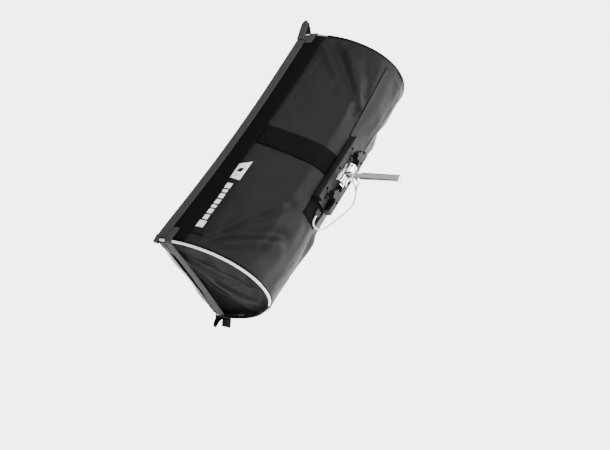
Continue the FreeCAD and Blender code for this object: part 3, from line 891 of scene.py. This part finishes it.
hang = Vector((0.743, 0.0, -0.669))
neck = Vector((0, -0.009, 0))
clean_start()
bpy.ops.mesh.primitive_torus_add(
    major_segments=48,
    minor_segments=12,
    major_radius=0.0130,
    minor_radius=cord_diameter / 2,
    location=hang * 0.004 + neck,
    rotation=(math.pi / 2, 0, 0),
)
loop_piece = bpy.context.object
loop_piece.name = "cord_loop_braided"
bpy.ops.object.transform_apply(location=True, rotation=True, scale=True)
bpy.ops.mesh.primitive_cylinder_add(
    vertices=20,
    radius=0.0028,
    depth=0.0105,
    location=hang * 0.0222 + neck,
    rotation=(0, math.atan2(hang.x, hang.z), 0),
)
bpy.ops.object.transform_apply(location=True, rotation=True, scale=True)
bpy.ops.object.mode_set(mode="EDIT")
bpy.ops.mesh.select_all(action="SELECT")
bpy.ops.mesh.bevel(offset=0.0007, segments=3, affect="EDGES")
bpy.ops.object.mode_set(mode="OBJECT")
loop_piece.select_set(True)
bpy.context.view_layer.objects.active = loop_piece
bpy.ops.object.join()
bpy.ops.object.shade_smooth_by_angle(angle=0.7)
loop_piece.data.materials.clear()
loop_piece.data.materials.append(cord_white)
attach(loop_piece, "stand_stud")
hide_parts("cord_loop")


# ---------------------------------------------------------------------------
# Hardware: turned and bent metal parts and moulded plastic, screwed together. Steel is bright with
# fine marks, black metal is powder-coated, plastic is lightly grained.
def solid(name, colour, roughness, metallic, grain, depth, specular=0.5):
    """A hard surface in the part's own space: fine grain in its relief, and handling marks in its
    gloss and tone."""
    spread = 0.08
    material = bpy.data.materials.new(name)
    material.use_nodes = True
    nodes, link = material.node_tree.nodes, material.node_tree.links.new
    shader = nodes["Principled BSDF"]
    shader.inputs["Metallic"].default_value = metallic
    shader.inputs["Specular IOR Level"].default_value = specular
    place = nodes.new("ShaderNodeTexCoord").outputs["Object"]
    grit = nodes.new("ShaderNodeTexNoise")
    grit.inputs["Scale"].default_value = grain
    grit.inputs["Detail"].default_value = 5.0
    link(place, grit.inputs["Vector"])
    handled = nodes.new("ShaderNodeTexNoise")
    handled.inputs["Scale"].default_value = 45.0
    handled.inputs["Detail"].default_value = 4.0
    link(place, handled.inputs["Vector"])
    gloss = nodes.new("ShaderNodeMapRange")
    gloss.inputs["To Min"].default_value = max(0.03, roughness - spread)
    gloss.inputs["To Max"].default_value = roughness + spread
    link(handled.outputs["Fac"], gloss.inputs["Value"])
    link(gloss.outputs["Result"], shader.inputs["Roughness"])
    tone = nodes.new("ShaderNodeMix")
    tone.data_type = "RGBA"
    tone.inputs["A"].default_value = tuple(c * 0.86 for c in colour) + (1,)
    tone.inputs["B"].default_value = tuple(min(1, c * 1.1) for c in colour) + (1,)
    link(handled.outputs["Fac"], tone.inputs["Factor"])
    link(tone.outputs["Result"], shader.inputs["Base Color"])
    bump = nodes.new("ShaderNodeBump")
    bump.inputs["Strength"].default_value = 0.4
    bump.inputs["Distance"].default_value = depth
    link(grit.outputs["Fac"], bump.inputs["Height"])
    link(bump.outputs["Normal"], shader.inputs["Normal"])
    return material


finishes = {
    solid("bright_steel", (0.88, 0.88, 0.89), 0.17, 1.0, 900.0, 0.00002): (
        "stud",
        "yoke",
        "pivot_bolt",
        "pivot_nut",
        "yoke_screw_left",
        "yoke_screw_right",
        "clamp_screw_left",
        "clamp_screw_right",
    ),
    solid("black_powder_coat", (0.0062, 0.0062, 0.0066), 0.40, 0.0, 1600.0, 0.00012, specular=0.20): (
        "bracket_base",
        "rail_top",
        "rail_bottom",
        "knob_washer_left",
        "knob_washer_right",
        "clamp_bar_left",
        "clamp_bar_right",
    ),
    solid("black_moulded_plastic", (0.009, 0.009, 0.0095), 0.40, 0.0, 700.0, 0.00006, specular=0.22): (
        "clamp_knob_left",
        "clamp_knob_right",
        "corner_socket_left_top",
        "corner_socket_left_bottom",
        "corner_socket_right_top",
        "corner_socket_right_bottom",
        "saddle_left",
        "saddle_right",
    ),
    solid("spring_steel", (0.55, 0.55, 0.56), 0.32, 1.0, 1100.0, 0.00002): ("inner_plate",),
}
for finish, names in finishes.items():
    for name in names:
        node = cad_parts[name]
        node.data.materials.clear()
        node.data.materials.append(finish)
